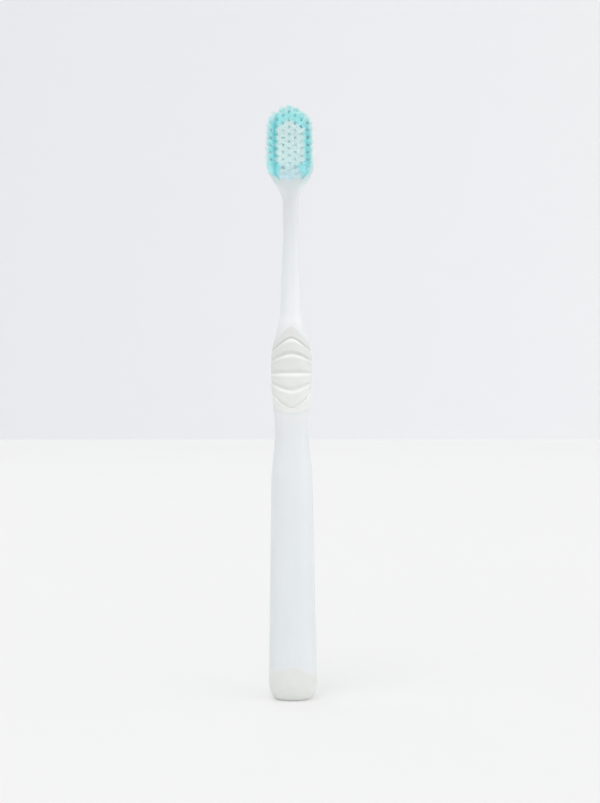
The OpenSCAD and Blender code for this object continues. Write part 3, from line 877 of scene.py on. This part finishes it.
grain, given, result = new_group(
    "fine grain",
    [("Vector", "NodeSocketVector", None), ("Scale", "NodeSocketFloat", 2000.0),
     ("Height", "NodeSocketFloat", 0.00001)],
    [("Normal", "NodeSocketVector")],
)
noise = add(grain, "ShaderNodeTexNoise", {"Vector": given["Vector"], "Scale": given["Scale"], "Detail": 2.0})
bump = add(grain, "ShaderNodeBump", {"Height": noise.outputs["Fac"], "Distance": given["Height"],
                                     "Strength": 1.0})
grain.links.new(bump.outputs["Normal"], result["Normal"])
print("node groups:", [group.name for group in bpy.data.node_groups])


# %% Helpers for materials
def new_material(name, plain):
    """A material with one Principled shader, whose plain sockets are set, and its object coordinates."""
    mat = bpy.data.materials.new(name)
    mat.use_nodes = True
    tree = mat.node_tree
    shader = tree.nodes["Principled BSDF"]
    for key, value in plain.items():
        shader.inputs[key].default_value = value
    return mat, tree, shader, add(tree, "ShaderNodeTexCoord").outputs["Object"]


def use_group(tree, group, inputs):
    """The outputs of the group as a node in a material."""
    return add(tree, "ShaderNodeGroup", inputs, node_tree=group).outputs


def finish_shader(tree, place, looks, scale, height):
    """The looks, each joined to its socket of the shader, and a fine grain of that scale and height."""
    shader = tree.nodes["Principled BSDF"]
    fine = use_group(tree, grain, {"Vector": place, "Scale": scale, "Height": height})
    for key, socket in {**looks, "Normal": fine["Normal"]}.items():
        tree.links.new(socket, shader.inputs[key])
    print("shader with", len(tree.nodes), "nodes, grain of scale", scale)


# %% [markdown]
# The mouldings' tone changes along the brush, and much of that change is painted light and shade: lighter
# and darker bands where more or less light falls on the brush. This could be painted on the mesh as a
# picture, but a colour ramp on the height needs no picture and can be read and changed as a list. Each stop
# is a height in millimetres and the colour that a screen shows there.


# %% Tones along the height
def tones_by_height(tree, place, mask, stops):
    """A colour that runs through the stops, made up to two hundredths lighter or darker by the mask."""
    share = calculate(tree, "DIVIDE", axis_of(tree, place, "Z"), TOTAL_H * MM)
    node = add(tree, "ShaderNodeValToRGB", {"Fac": share})
    elements = node.color_ramp.elements
    elements.remove(elements[1])
    for height, colour in stops.items():
        element = elements.new(height / TOTAL_H) if height else elements[0]
        element.color = srgb(*colour)
    return scaled(tree, node.outputs["Color"], between_values(tree, mask, 0.98, 1.02))


# %% [markdown]
# The core is a hard, pale, faintly blue plastic with a soft gloss. Its clouds are stretched along the
# handle, the way the plastic flowed into the mould, and they move both the colour and the gloss a little.
# The sides of the head near the neck get a painted aqua reflection and shade from the tufts in front of
# them. Here the filaments throw no colour, so a mask of the place across times the place up paints it.

# %% Hard plastic
# Painted light and shade: a painted highlight at the neck root, painted shade just above the grip, and a
# lighter band under the head that lifts the tufts' shadow.
HARD_TONES_AND_PAINTED_LIGHT = {
    0: (0.884, 0.904, 0.914), 85: (0.890, 0.906, 0.915), 91: (0.915, 0.925, 0.928),
    96: (0.890, 0.905, 0.914), 118.5: (0.878, 0.890, 0.893), 120.4: (0.890, 0.900, 0.904),
    122: (0.907, 0.915, 0.921), 128: (0.908, 0.919, 0.926), 144: (0.898, 0.914, 0.922),
    160: (0.898, 0.904, 0.912), 166: (0.922, 0.942, 0.946), 174: (0.895, 0.918, 0.926),
    190: (0.890, 0.915, 0.925),
}
PAINTED_AQUA_REFLECTION, SIDE_FROM_TO = srgb(0.79, 0.885, 0.89), (0.0028, 0.0065)
TINT_BEGINS, TINT_ENDS = (0.1625, 0.1665), (0.1755, 0.1705)

hard, tree, shader, place = new_material("hard_plastic", {"IOR": 1.5, "Specular IOR Level": 0.5})
flow = use_group(tree, clouds, {"Vector": place, "Stretch": (1, 1, 0.3), "Scale": 160.0,
                                "Contrast": 2.0})["Mask"]
body = tones_by_height(tree, place, flow, HARD_TONES_AND_PAINTED_LIGHT)
up = axis_of(tree, place, "Z")
aside = share_between(tree, calculate(tree, "ABSOLUTE", axis_of(tree, place, "X")), *SIDE_FROM_TO)
band = calculate(tree, "MULTIPLY", share_between(tree, up, *TINT_BEGINS), share_between(tree, up, *TINT_ENDS))
# Painted aqua reflection and shade on the sides of the head near the neck.
body = two_tone(tree, calculate(tree, "MULTIPLY", aside, band), body, PAINTED_AQUA_REFLECTION)
rough = between_values(tree, flow, 0.30, 0.38)
finish_shader(tree, place, {"Base Color": body, "Roughness": rough}, scale=900.0, height=0.000004)

# %% [markdown]
# The grip and the foot are a soft elastomer: a warmer white, duller, with a fine grain that a hard mould
# surface leaves on it. The foot's bottom edge and the low end of the grip are painted lighter, and the grip
# is painted darker towards the neck: painted light and shade in the colour. Where the mesh holds the
# painted highlight of a groove's lower wall, a lighter tone comes in, and where it says that the core
# shows, the core's cooler tone does, so that the soft pieces fade into the handle.

# %% Soft elastomer
# Painted light and shade: lighter at the foot's bottom edge and the grip's low end, darker towards the neck.
SOFT_TONES_AND_PAINTED_LIGHT = {
    0: (0.908, 0.916, 0.902), 2: (0.900, 0.908, 0.893), 5.5: (0.884, 0.889, 0.880),
    60: (0.884, 0.889, 0.880), 91.8: (0.934, 0.939, 0.931), 96.9: (0.915, 0.920, 0.909),
    102.6: (0.903, 0.908, 0.896), 107.8: (0.883, 0.888, 0.877), 112.9: (0.857, 0.862, 0.851),
    118.6: (0.842, 0.847, 0.836),
}
GROOVE_HIGHLIGHT_TONE, CORE_TONE = srgb(0.945, 0.953, 0.948), srgb(0.893, 0.909, 0.916)

soft, tree, shader, place = new_material("soft_elastomer", {"IOR": 1.48, "Sheen Weight": 0.08,
                                                            "Sheen Roughness": 0.5})
patch = use_group(tree, clouds, {"Vector": place, "Scale": 220.0, "Contrast": 2.0})["Mask"]
body = tones_by_height(tree, place, patch, SOFT_TONES_AND_PAINTED_LIGHT)
# Painted highlight on the lower wall of each groove.
body = two_tone(tree, mesh_value(tree, "painted_groove_highlight"), body, GROOVE_HIGHLIGHT_TONE)
body = two_tone(tree, mesh_value(tree, "core_shows"), body, CORE_TONE)
rough = between_values(tree, patch, 0.48, 0.58)
finish_shader(tree, place, {"Base Color": body, "Roughness": rough}, scale=2600.0, height=0.000012)

# %% [markdown]
# The packed heart of a tuft should read as filaments side by side. Lines could be modelled on it, but round
# cells as wide as a filament, the same all along the tuft, do it in the material: painted shade between
# the cells, raised in the middle of each, and each with a tone of its own.

# %% Cells of packed filaments
CELL_EDGE = (0.35, 0.65)
bundle, given, result = new_group(
    "packed filaments",
    [("Vector", "NodeSocketVector", None), ("Width", "NodeSocketFloat", 0.00014)],
    [("Between", "NodeSocketFloat"), ("Height", "NodeSocketFloat"), ("Tone", "NodeSocketFloat")],
)
cells = add(bundle, "ShaderNodeTexVoronoi", {"Vector": stretched(bundle, given["Vector"], (1, 0, 1)),
                                             "Scale": calculate(bundle, "DIVIDE", 1.0, given["Width"]),
                                             "Randomness": 0.7}).outputs
gap = share_between(bundle, cells["Distance"], *CELL_EDGE)
own = add(bundle, "ShaderNodeSeparateColor", {"Color": cells["Color"]})
bundle.links.new(gap, result["Between"])
bundle.links.new(calculate(bundle, "SUBTRACT", 1.0, gap), result["Height"])
bundle.links.new(own.outputs["Red"], result["Tone"])
print("cells", FILAMENT_D, "mm wide, which darken from", CELL_EDGE[0], "to", CELL_EDGE[1], "of a width out")

# %% [markdown]
# The filaments are nylon, coloured right through and slightly clear. Light that enters near the ends makes
# them pale there, and deeper in the tuft the colour is full. So the colour runs from a deep to a pale tone
# with the distance in front of the face. That is painted light, and so are the lighter haze where the last
# tufts stand in their holes and the lighter tone along the top edge and at the very ends. Every filament
# has a tone of its own.

# %% Colour of nylon
REACH_FROM_TO = (-FACE_DEPTH * MM, -(FACE_DEPTH + TUFT_LEN) * MM)
PALE_POWER, VERY_END, TONE_RANGE = 1.6, (0.9, 1.0), (0.97, 1.0)
HEEL_HAZE, HEEL_FROM_TO, TOP_FROM_TO = srgb(0.82, 0.925, 0.945), (0.1712, 0.1686), (0.180, 0.184)


def nylon_colour(tree, place, tone, deep, pale, tip, glow):
    """Colour from deep at the face to pale at the ends, or to the glow along the top, with a lighter very
    end, times a tone. The share of the way to pale is the share of the free length to the power 1.6."""
    reach = share_between(tree, axis_of(tree, place, "Y"), *REACH_FROM_TO)
    up = axis_of(tree, place, "Z")
    # Painted light: a lighter haze at the heel and a lighter glow along the top.
    deep_here = two_tone(tree, share_between(tree, up, *HEEL_FROM_TO), deep, HEEL_HAZE)
    pale_here = two_tone(tree, share_between(tree, up, *TOP_FROM_TO), pale, glow)
    body = two_tone(tree, calculate(tree, "POWER", reach, PALE_POWER), deep_here, pale_here)
    body = two_tone(tree, share_between(tree, reach, *VERY_END), body, tip)
    return scaled(tree, body, between_values(tree, tone, *TONE_RANGE))


half_pale = TUFT_LEN * 0.5 ** (1 / PALE_POWER)
print("nylon is half way to pale", round(half_pale, 1), "mm in front of the face")

# %% [markdown]
# Both kinds of nylon use that colour, with four tones in this order: deep, pale, at the very end, and along
# the top. The separate filaments add the pale and the shaded tone by the values of their ends. The packed
# hearts stand for filaments that let light through, so for shadow rays and for light that bounces they are
# nearly clear. The camera sees them whole.

# %% Nylon filament
GAP_SHADE_SHARE, STOPPED_SHARE = 0.75, 0.12


def filament_material(name, shade_colour, pale_colour, *colours):
    """Nylon of separate filaments, whose tone, pale and shade values are in their mesh."""
    mat, tree, shader, place = new_material(name, {"IOR": 1.53, "Roughness": 0.4})
    body = nylon_colour(tree, place, mesh_value(tree, "filament_tone"), *colours)
    body = two_tone(tree, mesh_value(tree, "filament_shade"), body, shade_colour)
    body = two_tone(tree, mesh_value(tree, "filament_pale"), body, pale_colour)
    finish_shader(tree, place, {"Base Color": body}, scale=30000.0, height=0.000001)
    return mat


def packed_material(name, *colours):
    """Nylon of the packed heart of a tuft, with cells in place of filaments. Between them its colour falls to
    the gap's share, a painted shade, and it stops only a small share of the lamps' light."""
    mat, tree, shader, place = new_material(name, {"IOR": 1.53, "Roughness": 0.5})
    cell = use_group(tree, bundle, {"Vector": place, "Width": FILAMENT_D * MM})
    body = nylon_colour(tree, place, cell["Tone"], *colours)
    # Painted shade between the cells of packed filaments.
    body = scaled(tree, body, between_values(tree, cell["Between"], 1.0, GAP_SHADE_SHARE))
    path = add(tree, "ShaderNodeLightPath").outputs
    passing = calculate(tree, "MAXIMUM", path["Is Shadow Ray"], path["Is Diffuse Ray"])
    bump = add(tree, "ShaderNodeBump", {"Height": cell["Height"], "Distance": FILAMENT_D * MM / 2})
    tree.links.new(body, shader.inputs["Base Color"])
    tree.links.new(between_values(tree, passing, 1.0, STOPPED_SHARE), shader.inputs["Alpha"])
    tree.links.new(bump.outputs["Normal"], shader.inputs["Normal"])
    return mat


AQUA = srgb(0.42, 0.85, 0.87), srgb(0.61, 0.955, 0.975), srgb(0.70, 0.99, 1.0), srgb(0.70, 1.0, 1.0)
WHITE = srgb(0.68, 0.93, 0.92), srgb(0.87, 1.0, 1.0), srgb(0.93, 1.0, 1.0), srgb(0.91, 1.0, 1.0)
AQUA_PALE, WHITE_PALE, SHADE = srgb(0.86, 0.975, 0.975), srgb(0.83, 0.95, 0.98), srgb(0.37, 0.82, 0.85)
nylon = {
    "aqua": (filament_material("aqua_nylon", SHADE, AQUA_PALE, *AQUA),
             packed_material("packed_aqua_nylon", *AQUA)),
    "white": (filament_material("white_nylon", SHADE, WHITE_PALE, *WHITE),
              packed_material("packed_white_nylon", *WHITE)),
}

# %% [markdown]
# The strips are flat brass wire, drawn along their length, so their fine lines run across the head. They
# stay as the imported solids, since a plain strip is the right shape, and only take this metal.

# %% Brass strip
brass, tree, shader, place = new_material("brass_strip", {"Metallic": 1.0})
drawn = use_group(tree, clouds, {"Vector": place, "Stretch": (0.1, 1, 1), "Scale": 6000.0,
                                 "Contrast": 1.6})["Mask"]
body = two_tone(tree, drawn, srgb(0.74, 0.62, 0.36), srgb(0.84, 0.73, 0.47))
rough = between_values(tree, drawn, 0.22, 0.36)
finish_shader(tree, place, {"Base Color": body, "Roughness": rough}, scale=9000.0, height=0.000002)

# %% [markdown]
# Every new piece takes its material, rides on the one body and stands for the solid that it replaces. The
# strips are carried over, and get the metal in their own slots.


# %% Dress the brush
def dress(piece, material, slot, *nodes):
    """Material, body and the solids that a piece stands for. The slot is not used."""
    piece.data.materials.append(material)
    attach(piece, "root")
    if nodes:
        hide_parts(*nodes)


dress(handle, hard, "hard_plastic", "handle_core")
dress(grip, soft, "soft_plastic", "thumb_grip")
dress(cap, soft, "soft_plastic", "end_cap")
for node, piece in filaments.items():
    colour = node.split("_")[0]
    loose, packed = nylon[colour]
    dress(piece, loose, f"{colour}_filament", node)
    dress(tuft_hearts[node], packed, f"{colour}_filament")
for column in range(COLUMNS):
    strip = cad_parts[f"anchors_column_{column + 1}"]
    strip.data.materials.clear()
    strip.data.materials.append(brass)
print("dressed", 3 + 2 * len(filaments), "new pieces and", COLUMNS, "rows of strips")

# %% [markdown]
# The brush stands on a wide pale table with a wall far behind it. Both could be separate planes, but one
# sheet carried along a bent profile has no seam and keeps the soft line where they meet. The line's place
# in the picture gives the wall's distance, because the camera is level and its height is known. The camera
# is rolled a little while that line is level in the picture, so the wall stands at a slant.

# %% Table and wall
EYE_Y, EYE_Z = -350.0, 95.8
FOCAL_PX, HORIZON_ROW, EDGE_ROW = 1082.0, 401, 440.2
ROLL = np.radians(0.27)
WALL_Y = EYE_Y + EYE_Z * FOCAL_PX / (EDGE_ROW - HORIZON_ROW)
SLANT = -np.tan(ROLL) * FOCAL_PX / (EDGE_ROW - HORIZON_ROW)
BEND_R, FLOOR_FRONT, WALL_TOP, HALF_WIDTH = 5.0, -3500.0, 3500.0, 4000.0
NEAR_TABLE, BEND_STEPS, ACROSS = 600, 9, 5

bend_angle = np.linspace(0, np.pi / 2, BEND_STEPS)
profile = np.concatenate([
    [[FLOOR_FRONT, 0], [-NEAR_TABLE, 0], [NEAR_TABLE, 0]],
    np.stack([WALL_Y - BEND_R + BEND_R * np.sin(bend_angle), BEND_R - BEND_R * np.cos(bend_angle)], axis=-1),
    [[WALL_Y, WALL_TOP]],
])
across = np.linspace(-HALF_WIDTH, HALF_WIDTH, ACROSS)[None]
slant = np.where(profile[:, :1] > WALL_Y / 2, SLANT * across, 0)
sheet = [np.broadcast_to(part, slant.shape) for part in (across, profile[:, :1] + slant, profile[:, 1:])]
row, col = np.arange(len(profile) - 1)[:, None] * ACROSS, np.arange(ACROSS - 1)[None]
sheet_faces = np.stack([row + col, row + col + 1, row + col + ACROSS + 1, row + col + ACROSS], axis=-1)
studio = make_piece("studio_sheet", np.stack(sheet, axis=-1).reshape(-1, 3), sheet_faces.reshape(-1, 4),
                    crease=None)
print("wall", round(WALL_Y), "mm behind the brush, slanted by", round(SLANT, 3), "mm for each mm across")

# %% [markdown]
# In the photograph the sheet is nearly white and the brush throws only a faint, soft shadow on it. More
# light would do that, but it would also bleach the brush. So for the camera's own rays the sheet shows a
# part of its brightness as light of its own, which no shadow dims, and for all other rays it is plain paper.
# The wall is a little bluer and has painted light, from darker on the left to lighter on the right.

# %% Studio paper
OWN_LIGHT, TONE_HALF_WIDTH = 0.4, 0.8
paper, tree, shader, place = new_material("studio_paper", {"Roughness": 0.9, "Specular IOR Level": 0.0,
                                                           "Emission Strength": 1.0})
on_wall = add(tree, "ShaderNodeMapRange", {"Value": axis_of(tree, place, "Z"), "From Min": 0.0,
                                           "From Max": BEND_R * MM},
              interpolation_type="SMOOTHSTEP").outputs["Result"]
# Painted light on the wall: darker on the left, lighter on the right.
painted_light_to_right = share_between(tree, axis_of(tree, place, "X"), -TONE_HALF_WIDTH, TONE_HALF_WIDTH)
cloud = use_group(tree, clouds, {"Vector": place, "Scale": 3.0, "Contrast": 1.5})["Mask"]
table_lit = two_tone(tree, cloud, srgb(0.896, 0.896, 0.895), srgb(0.903, 0.903, 0.903))
wall_lit = two_tone(tree, painted_light_to_right, srgb(0.916, 0.920, 0.936), srgb(0.938, 0.941, 0.948))
table_seen = two_tone(tree, cloud, srgb(0.958, 0.959, 0.959), srgb(0.964, 0.965, 0.965))
wall_seen = two_tone(tree, painted_light_to_right, srgb(0.914, 0.918, 0.935), srgb(0.946, 0.949, 0.957))
ray = add(tree, "ShaderNodeLightPath").outputs["Is Camera Ray"]
lit = two_tone(tree, on_wall, table_lit, wall_lit)
lit = scaled(tree, lit, between_values(tree, ray, 1.0, 1 - OWN_LIGHT))
own = two_tone(tree, on_wall, table_seen, wall_seen)
own = scaled(tree, own, between_values(tree, ray, 0.0, OWN_LIGHT))
tree.links.new(lit, shader.inputs["Base Color"])
tree.links.new(own, shader.inputs["Emission Color"])
studio.data.materials.append(paper)
print("the camera sees", round(OWN_LIGHT * 100), "% of the sheet's brightness as its own light")

# %% [markdown]
# The light is that of a white room: an even sky, a low sun from the right, a stronger and higher one from
# the front, a little to the left, and a weak one from high up behind. Suns are used because they light the
# near table and the far wall alike, and their width makes the shadows as soft as a big lamp would. The
# camera, mirror-like gloss and anything clear see a plain pale grey where the sheet ends, not the sky.

# %% Light
SKY, KEY, FILL, BACK = 0.67, 0.73, 0.99, 0.3
PLAIN_GREY = srgb(0.93, 0.935, 0.945)


def sun(name, strength, width, azimuth, elevation):
    """A sun that shines from that azimuth, nought in front of the brush and positive to the right, and
    that elevation, as wide as that angle."""
    lamp = bpy.data.objects.new(name, bpy.data.lights.new(name, "SUN"))
    lamp.data.energy, lamp.data.angle = strength, np.radians(width)
    lamp.rotation_euler = (np.radians(90 - elevation), 0, np.radians(azimuth))
    bpy.context.scene.collection.objects.link(lamp)
    print(name, "of strength", strength, "from azimuth", azimuth, "and elevation", elevation)


sun("key_light", KEY, width=60, azimuth=68, elevation=27)
sun("fill_light", FILL, width=50, azimuth=-25, elevation=58)
sun("back_light", BACK, width=36, azimuth=-150, elevation=66)
world = bpy.data.worlds.new("white_room")
bpy.context.scene.world = world
world.use_nodes = True
tree = world.node_tree
sky = tree.nodes["Background"]
sky.inputs["Color"].default_value = (1, 1, 1, 1)
sky.inputs["Strength"].default_value = SKY
plain = add(tree, "ShaderNodeBackground", {"Color": PLAIN_GREY, "Strength": 1.0})
path = add(tree, "ShaderNodeLightPath").outputs
mirrored = calculate(tree, "MAXIMUM", path["Is Glossy Ray"], path["Is Transmission Ray"])
direct = calculate(tree, "MAXIMUM", path["Is Camera Ray"], mirrored)
chosen = add(tree, "ShaderNodeMixShader", {0: direct, 1: sky.outputs[0], 2: plain.outputs[0]})
tree.links.new(chosen.outputs[0], tree.nodes["World Output"].inputs["Surface"])

# %% [markdown]
# The camera looks level along +Y from 350 mm away, at the height that shows the foot from above and the
# head from below. Its focal length is that of the picture, 1082 picture points, on a sensor whose long side
# is 36 mm. The brush leans a little to the left in the picture, so the camera is rolled by that much.

# %% Camera
EYE_X = 2.71
SENSOR, PICTURE_ROWS = 36.0, 803
camera = bpy.data.objects.new("camera", bpy.data.cameras.new("camera"))
camera.data.sensor_width = SENSOR
camera.data.lens = FOCAL_PX / PICTURE_ROWS * SENSOR
camera.data.clip_start, camera.data.clip_end = 0.01, 20
camera.location = (EYE_X * MM, EYE_Y * MM, EYE_Z * MM)
camera.rotation_euler = (np.pi / 2, ROLL, 0)
bpy.context.scene.collection.objects.link(camera)
bpy.context.scene.camera = camera
bpy.context.scene.view_settings.view_transform = "Standard"
print("lens", round(camera.data.lens, 2), "mm")
